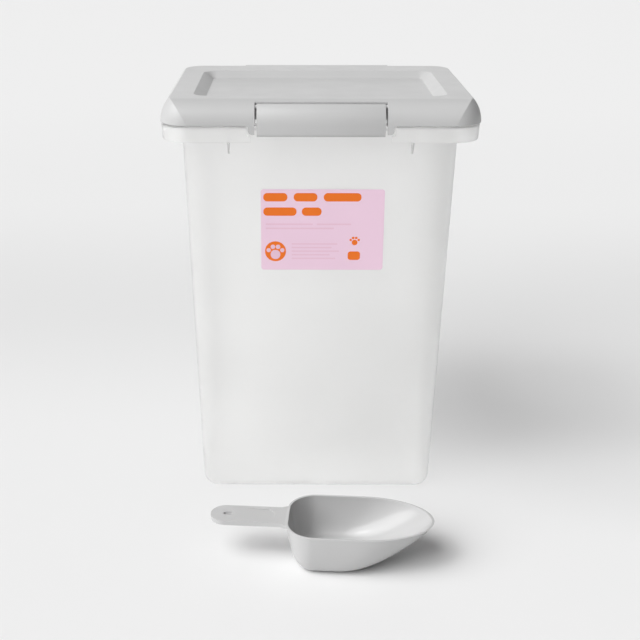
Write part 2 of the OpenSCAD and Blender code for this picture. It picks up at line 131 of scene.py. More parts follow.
def closeOpenings():     # of the piece being edited
    bpy.ops.mesh.select_all(action="DESELECT")
    bpy.ops.mesh.select_mode(type="EDGE")
    bpy.ops.mesh.select_non_manifold(extend=False, use_wire=False, use_multi_face=False,
                                     use_non_contiguous=False, use_verts=False)
    bpy.ops.mesh.edge_face_add()
    bpy.ops.mesh.select_all(action="SELECT")
    bpy.ops.mesh.normals_make_consistent(inside=False)
    bpy.ops.object.mode_set(mode="OBJECT")


def thickenPlate(rise):     # of the flat plate being edited; a negative rise goes downwards
    bpy.ops.mesh.select_all(action="SELECT")
    bpy.ops.mesh.extrude_region_move(TRANSFORM_OT_translate={"value": (0, 0, rise)})
    bpy.ops.mesh.select_all(action="SELECT")
    bpy.ops.mesh.normals_make_consistent(inside=False)
    bpy.ops.object.mode_set(mode="OBJECT")


def addBlock(name, low, high):
    deselectAll()
    middle = [(a + b) / 2 for a, b in zip(low, high)]
    bpy.ops.mesh.primitive_cube_add(size=1, location=middle)
    block = bpy.context.object
    block.name = name
    block.scale = [b - a for a, b in zip(low, high)]
    applyPlace(block)
    return block


def addRod(name, radius, start, end, steps=48):     # a cylinder from start to end
    deselectAll()
    way = Vector(end) - Vector(start)
    bpy.ops.mesh.primitive_cylinder_add(vertices=steps, radius=radius, depth=way.length,
                                        location=(Vector(start) + Vector(end)) / 2,
                                        rotation=way.to_track_quat("Z", "Y").to_euler())
    rod = bpy.context.object
    rod.name = name
    applyPlace(rod)
    return rod


def combine(piece, other, how, solver="EXACT"):     # UNION or DIFFERENCE; the other one is used up
    makeActive(piece)
    cut = piece.modifiers.new("combine", "BOOLEAN")
    cut.operation = how
    cut.solver = solver
    cut.object = other
    bpy.ops.object.modifier_apply(modifier=cut.name)
    bpy.data.objects.remove(other)


def tidyMesh(piece, merge=0.00002):
    makeActive(piece)
    bpy.ops.object.mode_set(mode="EDIT")
    bpy.ops.mesh.select_all(action="SELECT")
    bpy.ops.mesh.remove_doubles(threshold=merge)
    bpy.ops.mesh.dissolve_degenerate(threshold=merge)
    bpy.ops.mesh.normals_make_consistent(inside=False)
    bpy.ops.object.mode_set(mode="OBJECT")


def smoothByAngle(piece, angle=32):
    makeActive(piece)
    bpy.ops.object.shade_smooth_by_angle(angle=radians(angle))


def softenEdges(piece, width, steps=2, angle=40):
    makeActive(piece)
    bevel = piece.modifiers.new("soften", "BEVEL")
    bevel.width = width
    bevel.segments = steps
    bevel.limit_method = "ANGLE"
    bevel.angle_limit = radians(angle)
    bevel.miter_outer = "MITER_ARC"
    bpy.ops.object.modifier_apply(modifier=bevel.name)


def finishPiece(piece, material, body, slot, *stands):
    piece.data.materials.clear()
    piece.data.materials.append(material)
    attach(piece, body)
    if stands:
        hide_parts(*stands)
    print("made", piece.name, len(piece.data.polygons), "faces")


# camera, floor and light

cameraView = {
    "place": (-0.0286, -1.2374, 0.6438),
    "pitch": 69.1,            # degrees up from straight down
    "yaw": 0.38,
    "lens": 63.36,
    "shift": 0.0549,
    "farEnd": 60,
}

studio = {
    "floorSize": 30.0,
    "paper": 0.845,           # how much light the floor gives back
    "paperRough": 0.9,
    "paperShine": 0.1,
    # painted shadow on the floor: how far back along the floor, and how light it is there; darkest in a
    # wide band about half a metre back
    "paperShadeBand": ((-1.0, 1.0), (0.0, 0.98), (0.5, 0.90), (1.2, 0.975), (2.5, 1.0)),
    "left": 0.34,             # the room's light at each side
    "right": 0.11,
    "backdrop": 0.65,         # added towards the back
    "backdropFrom": (0.75, 0.97),     # where it starts and is full, as shares of straight back
    "through": 0.85,          # what frosted plastic lets in from all round
    # a wide window and its brighter middle: where each comes from, its power and its spread in degrees
    "suns": {
        "windowLight": ((-0.86, -0.52, 1.0), 3.10, 60),
        "windowMiddle": ((-0.74, -0.40, 1.0), 0.36, 16),
    },
}


def addCamera(view):
    turn = (radians(view["pitch"]), 0, radians(view["yaw"]))
    bpy.ops.object.camera_add(location=view["place"], rotation=turn)
    camera = bpy.context.object
    camera.data.lens = view["lens"]
    camera.data.shift_x = view["shift"]
    camera.data.clip_end = view["farEnd"]
    bpy.context.scene.camera = camera


def feed(tree, socket, value):     # value is a number or another node's output
    if isinstance(value, (int, float)):
        socket.default_value = value
    else:
        tree.links.new(value, socket)


def addRange(tree, value, start, end, low, high):     # start to end becomes low to high
    node = tree.nodes.new("ShaderNodeMapRange")
    for name, number in (("From Min", start), ("From Max", end), ("To Min", low), ("To Max", high)):
        node.inputs[name].default_value = number
    tree.links.new(value, node.inputs["Value"])
    return node.outputs[0]


def addMath(tree, how, value, other):
    node = tree.nodes.new("ShaderNodeMath")
    node.operation = how
    feed(tree, node.inputs[0], value)
    feed(tree, node.inputs[1], other)
    return node.outputs[0]


def addNoise(tree, place, scale, detail):
    node = tree.nodes.new("ShaderNodeTexNoise")
    feed(tree, node.inputs["Scale"], scale)
    feed(tree, node.inputs["Detail"], detail)
    feed(tree, node.inputs["Vector"], place)
    return node.outputs[0]


def addWorld(s):
    world = bpy.data.worlds.new("studioLight")
    world.use_nodes = True
    tree = world.node_tree
    place = tree.nodes.new("ShaderNodeTexCoord")
    split = tree.nodes.new("ShaderNodeSeparateXYZ")
    tree.links.new(place.outputs["Generated"], split.inputs[0])
    sides = addRange(tree, split.outputs["X"], -1, 1, s["left"], s["right"])
    behind = addRange(tree, split.outputs["Y"], *s["backdropFrom"], 0, s["backdrop"])
    behind.node.interpolation_type = "SMOOTHSTEP"
    room = addMath(tree, "ADD", sides, behind)
    ray = tree.nodes.new("ShaderNodeLightPath")
    through = addMath(tree, "MULTIPLY", ray.outputs["Is Transmission Ray"], s["through"])
    background = tree.nodes["Background"]
    background.inputs["Color"].default_value = (1, 1, 1, 1)
    tree.links.new(addMath(tree, "MAXIMUM", through, room), background.inputs["Strength"])
    bpy.context.scene.world = world


def addFloor(s):
    bpy.ops.mesh.primitive_plane_add(size=s["floorSize"], location=(0, s["floorSize"] / 4, 0))
    floor = bpy.context.object
    floor.name = "studioFloor"
    applyPlace(floor)
    paper = bpy.data.materials.new("studioPaper")
    paper.use_nodes = True
    tree = paper.node_tree
    shader = tree.nodes["Principled BSDF"]
    place = tree.nodes.new("ShaderNodeTexCoord")
    split = tree.nodes.new("ShaderNodeSeparateXYZ")
    ramp = tree.nodes.new("ShaderNodeValToRGB")
    shadeStops = s["paperShadeBand"]
    first, last = shadeStops[0][0], shadeStops[-1][0]
    ramp.color_ramp.interpolation = "EASE"
    # painted shadow: the paper's colour darkens along the floor, most in a band about half a metre back
    for stop, (y, tone) in enumerate(shadeStops):
        at = (y - first) / (last - first)
        ends = {0: 0, len(shadeStops) - 1: -1}     # a ramp already has its two end stops
        spot = ramp.color_ramp.elements[ends[stop]] if stop in ends else ramp.color_ramp.elements.new(at)
        spot.position = at
        spot.color = (*[tone * s["paper"]] * 3, 1)
    tree.links.new(place.outputs["Object"], split.inputs[0])
    tree.links.new(addRange(tree, split.outputs["Y"], first, last, 0, 1), ramp.inputs[0])
    tree.links.new(ramp.outputs["Color"], shader.inputs["Base Color"])
    shader.inputs["Roughness"].default_value = s["paperRough"]
    shader.inputs["Specular IOR Level"].default_value = s["paperShine"]
    floor.data.materials.append(paper)


def addSuns(s):
    for name, (comesFrom, power, spread) in s["suns"].items():
        towards = -Vector(comesFrom)
        bpy.ops.object.light_add(type="SUN", rotation=towards.to_track_quat("-Z", "Y").to_euler())
        sun = bpy.context.object
        sun.name = name
        sun.data.energy = power
        sun.data.angle = radians(spread)


deselectAll()
bpy.context.scene.view_settings.view_transform = "Standard"
addCamera(cameraView)
addWorld(studio)
addFloor(studio)
addSuns(studio)
print("studio ready")


# finishes

finishes = {
    "frost": {"colour": (0.925, 0.925, 0.92), "rough": 0.32, "through": 0.86, "shadow": 0.98, "paintedGlow": 0.036,
              "sideShade": 0.72, "sideShadeFrom": 0.55, "grain": 0.25, "grainSize": 900, "edgeShine": 0.0},
    "satin": {"colour": (0.53, 0.53, 0.53), "rough": 0.36, "grain": 0.30, "grainSize": 1400, "edgeShine": 0.12},
    "gloss": {"colour": (0.53, 0.53, 0.53), "rough": 0.22, "grain": 0.06, "grainSize": 1400, "edgeShine": 0.12},
    "rubber": {"colour": (0.16, 0.16, 0.165), "rough": 0.7, "grain": 0.35, "grainSize": 700, "edgeShine": 0.05},
    "film": {"colour": (0.89, 0.645, 0.785), "rough": 0.45, "grain": 0.08, "grainSize": 500, "edgeShine": 0.0},
    "orangeInk": {"colour": (0.88, 0.175, 0.004), "rough": 0.6,
                  "grain": 0.05, "grainSize": 500, "edgeShine": 0.0},
    "paleInk": {"colour": (0.84, 0.56, 0.69), "rough": 0.4, "grain": 0.05, "grainSize": 500, "edgeShine": 0.0},
}

surface = {
    "ior": 1.49,
    "grainDepth": 0.00012,
    "grainDetail": 1,
    "unevenDetail": 3,
    "unevenFrom": (0.3, 0.7),         # the part of the noise that is spread over the range below
    # scale of the noise, lowest and highest
    "uneven": {"Tone": (9, 0.97, 1.03), "Sheen": (38, -0.04, 0.04)},
    "edgeRadius": 0.0009,
    "edgeSamples": 4,
    "edgeFrom": (0.995, 0.85),        # cosine of the turn where the painted edge highlight starts, and where it is full
    "edgeScale": 120,
    "edgeDetail": 2,
}


def newGroup(name, inputs, outputs):
    group = bpy.data.node_groups.new(name, "ShaderNodeTree")
    for label, kind, value in inputs:
        socket = group.interface.new_socket(label, in_out="INPUT", socket_type=kind)
        if value is not None:
            socket.default_value = value
    for label, kind in outputs:
        group.interface.new_socket(label, in_out="OUTPUT", socket_type=kind)
    return group, group.nodes.new("NodeGroupInput"), group.nodes.new("NodeGroupOutput")


def makeGrain(s):     # the fine texture of a moulding tool
    group, given, result = newGroup("mouldGrain", [("Place", "NodeSocketVector", None),
                                                   ("Size", "NodeSocketFloat", 1000),
                                                   ("Strength", "NodeSocketFloat", 0.3)],
                                    [("Normal", "NodeSocketVector")])
    noise = addNoise(group, given.outputs["Place"], given.outputs["Size"], s["grainDetail"])
    bump = group.nodes.new("ShaderNodeBump")
    bump.inputs["Distance"].default_value = s["grainDepth"]
    group.links.new(noise, bump.inputs["Height"])
    group.links.new(given.outputs["Strength"], bump.inputs["Strength"])
    group.links.new(bump.outputs[0], result.inputs["Normal"])
    return group


def makeVariation(s):     # broad unevenness of tone and sheen
    group, given, result = newGroup("softVariation", [("Place", "NodeSocketVector", None)],
                                    [("Tone", "NodeSocketFloat"), ("Sheen", "NodeSocketFloat")])
    for label, (scale, low, high) in s["uneven"].items():
        noise = addNoise(group, given.outputs["Place"], scale, s["unevenDetail"])
        group.links.new(addRange(group, noise, *s["unevenFrom"], low, high), result.inputs[label])
    return group


def makeEdgeShine(s):     # painted highlight mask: near 1 on edges, 0 on open faces
    group, given, result = newGroup("paintedEdgeShine", [("Place", "NodeSocketVector", None)],
                                    [("Edge", "NodeSocketFloat")])
    rounded = group.nodes.new("ShaderNodeBevel")
    rounded.samples = s["edgeSamples"]
    rounded.inputs["Radius"].default_value = s["edgeRadius"]
    shape = group.nodes.new("ShaderNodeNewGeometry")
    dot = group.nodes.new("ShaderNodeVectorMath")
    dot.operation = "DOT_PRODUCT"
    group.links.new(rounded.outputs[0], dot.inputs[0])
    group.links.new(shape.outputs["Normal"], dot.inputs[1])
    edge = addRange(group, dot.outputs["Value"], *s["edgeFrom"], 0, 1)
    noise = addNoise(group, given.outputs["Place"], s["edgeScale"], s["edgeDetail"])
    group.links.new(addMath(group, "MULTIPLY", edge, noise), result.inputs["Edge"])
    return group


grainGroup = makeGrain(surface)
variationGroup = makeVariation(surface)
edgeShineGroup = makeEdgeShine(surface)


def paintSideShade(tree, level, f):     # painted shade: the colour is darker where a wall turns away from the view
    side = tree.nodes.new("ShaderNodeLayerWeight")
    turned = addRange(tree, side.outputs["Facing"], f["sideShadeFrom"], 1, 1, f["sideShade"])
    return addMath(tree, "MULTIPLY", turned, level)


def letLightThrough(tree, shader, f):     # so that it reaches what lies behind and inside the frosted walls
    shader.inputs["Transmission Weight"].default_value = f["through"]
    # painted glow: a faint emission that brightens the frosted plastic, which is no lamp
    shader.inputs["Emission Color"].default_value = (1, 1, 1, 1)
    shader.inputs["Emission Strength"].default_value = f["paintedGlow"]
    clear = tree.nodes.new("ShaderNodeBsdfTransparent")
    clear.inputs["Color"].default_value = (*[f["shadow"]] * 3, 1)
    ray = tree.nodes.new("ShaderNodeLightPath")
    look = shader.outputs[0]
    for kind in ("Is Diffuse Ray", "Is Shadow Ray"):
        mix = tree.nodes.new("ShaderNodeMixShader")
        tree.links.new(ray.outputs[kind], mix.inputs[0])
        tree.links.new(look, mix.inputs[1])
        tree.links.new(clear.outputs[0], mix.inputs[2])
        look = mix.outputs[0]
    tree.links.new(look, tree.nodes["Material Output"].inputs["Surface"])


def makeFinish(name):     # a plastic, rubber, film or ink with the shared grain, unevenness and a painted edge highlight
    f = finishes[name]
    material = bpy.data.materials.new(name)
    material.use_nodes = True
    tree = material.node_tree
    link = tree.links.new
    shader = tree.nodes["Principled BSDF"]
    shader.inputs["IOR"].default_value = surface["ior"]
    place = tree.nodes.new("ShaderNodeTexCoord")
    made = {}
    for key, group in (("grain", grainGroup), ("vary", variationGroup), ("edgeShine", edgeShineGroup)):
        made[key] = tree.nodes.new("ShaderNodeGroup")
        made[key].node_tree = group
        link(place.outputs["Object"], made[key].inputs["Place"])
    made["grain"].inputs["Size"].default_value = f["grainSize"]
    made["grain"].inputs["Strength"].default_value = f["grain"]
    link(made["grain"].outputs["Normal"], shader.inputs["Normal"])

    level = made["vary"].outputs["Tone"]
    # painted shade: darker where the frosted walls turn away from the view
    if "sideShade" in f:
        level = paintSideShade(tree, level, f)
    tone = tree.nodes.new("ShaderNodeVectorMath")
    tone.operation = "SCALE"
    tone.inputs[0].default_value = f["colour"]
    link(level, tone.inputs["Scale"])
    # painted highlight: edges are lightened towards white, broken up by noise
    edgeShineMix = tree.nodes.new("ShaderNodeMix")
    edgeShineMix.data_type = "RGBA"
    edgeShineMix.inputs["B"].default_value = (1, 1, 1, 1)
    link(addMath(tree, "MULTIPLY", made["edgeShine"].outputs["Edge"], f["edgeShine"]), edgeShineMix.inputs["Factor"])
    link(tone.outputs[0], edgeShineMix.inputs["A"])
    link(edgeShineMix.outputs["Result"], shader.inputs["Base Color"])
    link(addMath(tree, "ADD", made["vary"].outputs["Sheen"], f["rough"]), shader.inputs["Roughness"])
    if "through" in f:
        letLightThrough(tree, shader, f)
    return material


frost = makeFinish("frost")
grey = makeFinish("satin")
print("finishes ready")


# the tub: walls, floor and rim in one moulding

tubShape = {
    "taper": 0.014,           # how far each wall leans in from the flange down to the floor
    "topRadius": 0.0323,      # corner radius at the upper edge
    "wall": 0.0022,
    "footRadius": 0.013,
    "footSteps": 8,
    "cornerSteps": 14,
    "footRing": 0.003,
    "footHollow": 0.0012,
    "footStep": 0.0004,       # from the ring's inner edge in to the hollow
    "floor": 1.7,             # thickness of the floor as a share of the wall's
    "lipRound": 0.0006,
    "gateRadius": 0.0016,
    "gateFrom": 0.0004,       # its lower end, clear of what the tub stands on
    "gateSteps": 16,
    "ribX": 0.093,
    "ribY": 0.058,
    "ribDrop": 0.0322,        # below the flange
    "ribThick": 0.002,
    "ribToe": 0.0145,         # height of the rib where it meets the skirt
    "ribSunk": 0.0005,        # into the flange
}

rimShape = {
    "radius": 0.029,
    "wall": 0.0022,
    "skirt": 0.0165,
    "draft": 0.001,
    "round": 0.0012,
    "edgeTurn": 0.3,          # where the lower edge's middle point lies, as a share of its round
    "cornerSteps": 12,
    "notchHalf": 0.0745,      # the wide part of the gap for the latch and its guards
    "notchDrop": 0.0098,
    "narrowHalf": 0.0702,     # the part where the skirt is cut right through
    "catchFromFront": 0.00245,
    "catchHeight": 0.0041,
    "catchRound": 0.0005,
    "cornerRound": 0.0025,
    "lidStep": 0.001,         # from the front of the lid back to where the catch is measured from
}

bracketShape = {
    "x": 0.062,
    "earInner": 0.012,        # from the bracket's middle to each ear
    "earThick": 0.004,
    "earRadius": 0.005,
    "stopDrop": 0.011,        # from the pin down to the stop's underside
    "stopThick": 0.003,
    "stopReach": 0.0061,      # of the stop past the pin
    "stopRound": 0.0008,
    "plateFrom": 0.0005,      # up from the stop's underside
    "plateUp": 0.002,         # above the pin
    "sunk": 0.0012,
    "bore": 0.00255,
}


def wallLean(shape):     # how far the walls lean in for each metre down
    return shape["taper"] / rimHigh.z


def tubProfile(shape, wall):     # (inward, down) points from the upper edge to the floor
    height = tubHigh.z
    lean = wallLean(shape)
    slant = atan2(lean, 1)
    foot = shape["footRadius"] - wall
    floorZ = wall * shape["floor"]
    middle = lean * (height - foot - floorZ) + foot / cos(slant)
    points = [(0, 0)]
    for i in range(shape["footSteps"] + 1):
        a = slant + (pi / 2 - slant) * i / shape["footSteps"]
        points.append((middle - foot * cos(a), height - floorZ - foot + foot * sin(a)))
    return points


def tubForm(name, shape, wall):     # the outside, or the space inside when wall is given
    low = (-tubHigh.x + wall, -tubHigh.y + wall)
    high = (tubHigh.x - wall, tubHigh.y - wall)
    form = addPlate(name, low, high, tubHigh.z, shape["topRadius"] - wall, shape["cornerSteps"])
    traceDown(tubProfile(shape, wall))
    if not wall:     # the ring that the tub stands on, and the shallow hollow inside it
        bpy.ops.mesh.inset(thickness=shape["footRing"], depth=0)
        bpy.ops.mesh.inset(thickness=shape["footStep"], depth=-shape["footHollow"])
    closeOpenings()
    if wall:     # the space starts above the upper edge
        pickFaces(form, lambda at, up: up.z > facing and at.z > tubHigh.z - near)
        bpy.ops.mesh.extrude_region_move(TRANSFORM_OT_translate={"value": (0, 0, over)})
        bpy.ops.object.mode_set(mode="OBJECT")
    return form


def makeRim(shape):
    halfX, halfY = rimHigh.x, -rimLow.y
    top, wall, skirt, draft = rimHigh.z, shape["wall"], shape["skirt"], shape["draft"]
    rim = addPlate("rimForm", (-halfX, -halfY), (halfX, halfY), top, shape["radius"], shape["cornerSteps"])
    edge = shape["round"]
    turn = edge * shape["edgeTurn"]
    traceDown([(0, 0), (draft, skirt - edge), (draft + turn, skirt - turn), (draft + edge, skirt)])
    closeOpenings()
    pickEdges(rim, lambda a, b: min(a.z, b.z) > top - near)
    bevelPicked(edge, 3)
    space = addPlate("rimSpace", (wall - halfX, wall - halfY), (halfX - wall, halfY - wall), top - wall,
                     shape["radius"] - wall, shape["cornerSteps"])
    traceDown([(0, 0), (draft, skirt)])
    closeOpenings()
    combine(rim, space, "DIFFERENCE")

    catchY = lidLow.y + shape["lidStep"] + shape["catchFromFront"]     # the outer face of the catch
    step, narrow, wide = top - shape["notchDrop"], shape["narrowHalf"], shape["notchHalf"]
    clear = over * 10     # the notch ends in the open air
    for half, low, back in ((wide, step, catchY), (narrow, top - skirt - over * 5, catchY + wall * 2)):
        notch = addBlock("notch", (-half, -halfY - clear, low), (half, back, top + clear))
        pickEdges(notch, lambda a, b: abs(a.y - b.y) > near and max(a.z, b.z) < top)
        bevelPicked(shape["cornerRound"], 4)
        combine(rim, notch, "DIFFERENCE")
    catch = addBlock("catch", (-wide, catchY, top - shape["catchHeight"]), (wide, over - tubHigh.y, top))
    pickFaces(catch, lambda at, up: up.z < -facing)
    bevelPicked(shape["catchRound"], 2)
    combine(rim, catch, "UNION")
    return rim


def makeRib(shape, side, place):     # a tapering rib under the flange; side is (1, 0) or the like
    skin = (rimHigh.x if side[0] else -rimLow.y) - rimShape["wall"] / 2     # the middle of the skirt
    wallAt = (tubHigh.x if side[0] else tubHigh.y) - shape["wall"]
    half = shape["ribThick"] / 2
    low, high = rimHigh.z - shape["ribDrop"], rimHigh.z - shape["ribSunk"]
    if side[0]:
        a, b = sorted((side[0] * wallAt, side[0] * skin))
        rib = addBlock("rib", (a, place - half, low), (b, place + half, high))
    else:
        a, b = sorted((side[1] * wallAt, side[1] * skin))
        rib = addBlock("rib", (place - half, a, low), (place + half, b, high))
    along = Vector((side[0], side[1], 0))
    outer, toe = skin - near, low + near
    pickEdges(rib, lambda p, q: min(p.dot(along), q.dot(along)) > outer and max(p.z, q.z) < toe)
    bpy.ops.transform.translate(value=(0, 0, shape["ribDrop"] - shape["ribToe"]))
    bpy.ops.object.mode_set(mode="OBJECT")
    return rib


def makeBracket(shape, x):     # two ears and a stop
    skin = -rimLow.y - shape["sunk"]
    low = hingeAt.z - shape["stopDrop"]
    outer = shape["earInner"] + shape["earThick"]
    reach = hingeAt.y + shape["stopReach"]
    bracket = addBlock("bracket", (x - outer, skin, low), (x + outer, reach, low + shape["stopThick"]))
    pickEdges(bracket, lambda a, b: min(a.y, b.y) > hingeAt.y)
    bevelPicked(shape["stopRound"], 2)
    for side in (-1, 1):
        a, b = sorted((x + side * shape["earInner"], x + side * outer))
        ear = addRod("ear", shape["earRadius"], (a, hingeAt.y, hingeAt.z), (b, hingeAt.y, hingeAt.z))
        plate = addBlock("earPlate", (a, skin, low + shape["plateFrom"]),
                         (b, hingeAt.y, hingeAt.z + shape["plateUp"]))
        combine(ear, plate, "UNION")
        combine(bracket, ear, "UNION")
    return bracket


def makeTub(shape):
    tub = tubForm("frostedTub", shape, 0)
    combine(tub, makeRim(rimShape), "UNION")
    for way in (-1, 1):
        for place in (-1, 1):
            combine(tub, makeRib(shape, (0, way), place * shape["ribX"]), "UNION")
            combine(tub, makeRib(shape, (way, 0), place * shape["ribY"]), "UNION")
        combine(tub, makeBracket(bracketShape, way * bracketShape["x"]), "UNION")
    combine(tub, tubForm("tubSpace", shape, shape["wall"]), "DIFFERENCE")
    for way in (-1, 1):
        x = bracketShape["x"] * way
        reach = bracketShape["earInner"] + 2 * bracketShape["earThick"]
        start, end = (x - reach, hingeAt.y, hingeAt.z), (x + reach, hingeAt.y, hingeAt.z)
        combine(tub, addRod("pinBore", bracketShape["bore"], start, end), "DIFFERENCE")
    start, end = (0, 0, shape["gateFrom"]), (0, 0, shape["footHollow"] + over)
    combine(tub, addRod("gate", shape["gateRadius"], start, end, shape["gateSteps"]), "UNION")
    tidyMesh(tub)
    pickEdges(tub, lambda a, b: min(a.z, b.z) > tubHigh.z - near)
    bevelPicked(shape["lipRound"], 3)
    smoothByAngle(tub)
    return tub


tub = makeTub(tubShape)
finishPiece(tub, frost, "tub", "frosted_plastic", "tub", "tub_rim")


# the latch: a curved flap with a rolled lower edge

latchShape = {
    "width": 0.128,
    "thick": 0.0026,
    "curve": 0.0241,          # radius of its outer face, the same as the lid's front
    "barrel": 0.003,
    "trunnion": 0.0022,
    "hookRadius": 0.003,
    "lap": 0.0009,            # how far the flap runs on past its pivot, towards the lid
    "edgeRound": 0.0006,
    "rodRound": 0.0004,
    "steps": 12,
    "lidGap": 0.0005,         # from the rim's top up to where the lid and the flap start to curve
}


def makeLatch(shape):
    half, thick, radius = shape["width"] / 2, shape["thick"], shape["curve"]
    edgeZ = rimHigh.z + shape["lidGap"]
    middle = (0, latchLow.y + radius, edgeZ)
    hookZ = latchLow.z + shape["hookRadius"]
    reach = atan2(latchAt.z - edgeZ, middle[1] - latchAt.y) + shape["lap"] / radius
    flap = addBlock("latchFlap", (-half, latchLow.y, hookZ), (half, latchLow.y + thick, edgeZ))
    pickFaces(flap, lambda at, up: up.z > facing)
    bpy.ops.mesh.spin(steps=shape["steps"], angle=reach, center=middle, axis=(1, 0, 0))
    pickFaces(flap, lambda at, up: up.z < -facing)
    hookAt = (0, latchLow.y + shape["hookRadius"], hookZ)
    bpy.ops.mesh.spin(steps=shape["steps"], angle=-pi, center=hookAt, axis=(1, 0, 0))
    bpy.ops.object.mode_set(mode="OBJECT")
    tidyMesh(flap)
    softenEdges(flap, shape["edgeRound"], 3, 60)
    for name, r, end in (("barrel", shape["barrel"], half), ("trunnions", shape["trunnion"], latchHigh.x)):
        rod = addRod(name, r, (-end, latchAt.y, latchAt.z), (end, latchAt.y, latchAt.z))
        softenEdges(rod, shape["rodRound"])
        combine(flap, rod, "UNION")
    smoothByAngle(flap)
    return flap


latch = makeLatch(latchShape)
finishPiece(latch, grey, "latch", "grey_plastic", "latch")


# the scoop: bowl and handle in one moulding

scoopShape = {
    "middle": (0.020, -0.235),
    "turn": -4,               # degrees
    "back": -0.0535,          # ends of the rim along the scoop, from its middle
    "straight": 0.024,        # where the sides begin to curve in to the tip
    "tip": 0.097,
    "halfWidth": 0.044,
    "backCorner": 0.030,
    "tipSteps": 9,
    "tipTurn": 88,            # degrees of the quarter ellipse, so that the tip keeps a short straight edge
    "wall": 0.0022,
    # height, length and half width as shares of the rim's, and how far the back has moved in
    "rings": ((0.040, 0.962, 0.995, 0.0012), (0.030, 0.875, 0.980, 0.0030), (0.020, 0.775, 0.955, 0.0050),
              (0.012, 0.680, 0.915, 0.0070), (0.006, 0.590, 0.845, 0.0100), (0.002, 0.495, 0.745, 0.0145),
              (0.0, 0.390, 0.620, 0.0210)),
    "floorInset": 0.006,
    "handleEnd": -0.1318,
    "handleWidth": 0.032,
    "handleThick": 0.0045,
    "handleDrop": 0.0006,     # of its top below the rim
    "endSteps": 12,
    "slotMiddle": -0.1138,
    "slotLength": 0.010,
    "slotWidth": 0.0055,
    "slotFlat": 0.00005,      # left straight at each end of the slot
    "thumbFrom": -0.100,
    "thumbTo": -0.066,
    "thumbInset": 0.005,
    "thumbRound": 0.009,
    "thumbTilt": -0.030,      # the panel starts level with the handle and deepens towards the bowl
    "flare": 0.010,
    "flareFrom": -0.062,
    "flareSide": 0.0005,      # how far the flared piece starts in from the handle's sides
    "flareSkin": 0.0002,      # and in from its top and underside; the handle's end keeps as much of a flat
    "rootIn": 0.016,          # how far the handle first runs in past the back of the rim
    "plugShare": 0.975,
    "trim": ((-0.1, -0.1), (0.15, 0.1)),      # a block over the whole bowl, which cuts its rim level
    "trimHeight": 0.02,
    "plugRise": 0.004,
    "rimBand": 0.0004,        # edges this close to the rim's level belong to it
    "edgeRound": 0.0006,
}


def makeBowl(shape):
    top = scoopHigh.z
    half, back, straight = shape["halfWidth"], shape["back"], shape["straight"]
    deselectAll()
    bpy.ops.mesh.primitive_plane_add(size=1, location=((back + straight) / 2, 0, top))
    bowl = bpy.context.object
    bowl.name = "measuringScoop"
    bowl.scale = (straight - back, 2 * half, 1)
    applyPlace(bowl)
    before, width = straight, half
    pickEdges(bowl, lambda a, b: min(a.x, b.x) > straight - near)
    for i in range(1, shape["tipSteps"] + 1):     # a quarter of an ellipse on each side, out to the tip
        a = radians(shape["tipTurn"]) * i / shape["tipSteps"]
        x = straight + (shape["tip"] - straight) * sin(a)
        bpy.ops.mesh.extrude_edges_move(TRANSFORM_OT_translate={"value": (x - before, 0, 0)})
        bpy.ops.transform.resize(value=(1, half * cos(a) / width, 1), center_override=(x, 0, top))
        before, width = x, half * cos(a)
    bpy.ops.mesh.select_all(action="SELECT")
    bpy.ops.mesh.dissolve_faces()
    pickCorners(bowl, lambda at: at.x < back + near)
    bpy.ops.mesh.bevel(affect="VERTICES", offset=shape["backCorner"], segments=8)
    bpy.ops.mesh.select_all(action="SELECT")
    bpy.ops.mesh.flip_normals()

    z, long, wide, moved = top, 1, 1, 0
    for ringZ, ringLong, ringWide, ringMoved in shape["rings"]:
        step = (ringMoved - moved, 0, ringZ - z)
        bpy.ops.mesh.extrude_region_move(TRANSFORM_OT_translate={"value": step})
        bpy.ops.transform.resize(value=(ringLong / long, ringWide / wide, 1),
                                 center_override=(back + ringMoved, 0, ringZ))
        z, long, wide, moved = ringZ, ringLong, ringWide, ringMoved
    bpy.ops.mesh.inset(thickness=shape["floorInset"], depth=0)
    pickFaces(bowl, lambda at, up: at.z > top - near)
    bpy.ops.mesh.delete(type="ONLY_FACE")
    bpy.ops.object.mode_set(mode="OBJECT")
    return bowl


def duplicatePiece(piece, name):
    makeActive(piece)
    bpy.ops.object.duplicate()
    copy = bpy.context.object
    copy.name = name
    return copy


def makeHandle(shape):
    end, half = shape["handleEnd"], shape["handleWidth"] / 2
    root = shape["back"] + shape["rootIn"]
    top, thick = scoopHigh.z - shape["handleDrop"], shape["handleThick"]
    side, skin = half - shape["flareSide"], shape["flareSkin"]
    handle = addPlate("handle", (end, -half), (root + half, half), top, half - skin, shape["endSteps"])
    thickenPlate(-thick)
    flare = addBlock("flare", (shape["flareFrom"], -side, top - thick + skin), (root, side, top - skin))
    pickFaces(flare, lambda at, up: up.x > facing)
    bpy.ops.transform.resize(value=(1, 1 + shape["flare"] / half, 1))
    bpy.ops.object.mode_set(mode="OBJECT")
    combine(handle, flare, "UNION")

    middle, slotHalf, slotWide = shape["slotMiddle"], shape["slotLength"] / 2, shape["slotWidth"] / 2
    slot = addPlate("slot", (middle - slotHalf, -slotWide), (middle + slotHalf, slotWide), top + over,
                    slotWide - shape["slotFlat"], 8)
    thickenPlate(-thick - 2 * over)
    combine(handle, slot, "DIFFERENCE")
    thumbHalf = half - shape["thumbInset"]
    thumb = addPlate("thumb", (shape["thumbFrom"], -thumbHalf), (shape["thumbTo"], thumbHalf), top + over,
                     shape["thumbRound"], 8)
    thickenPlate(-over)
    makeActive(thumb)
    pivot = (shape["thumbFrom"], 0, top)
    bpy.ops.transform.rotate(value=shape["thumbTilt"], orient_axis="Y", center_override=pivot)
    applyPlace(thumb)
    combine(handle, thumb, "DIFFERENCE")
    softenEdges(handle, shape["edgeRound"], 3)
    return handle


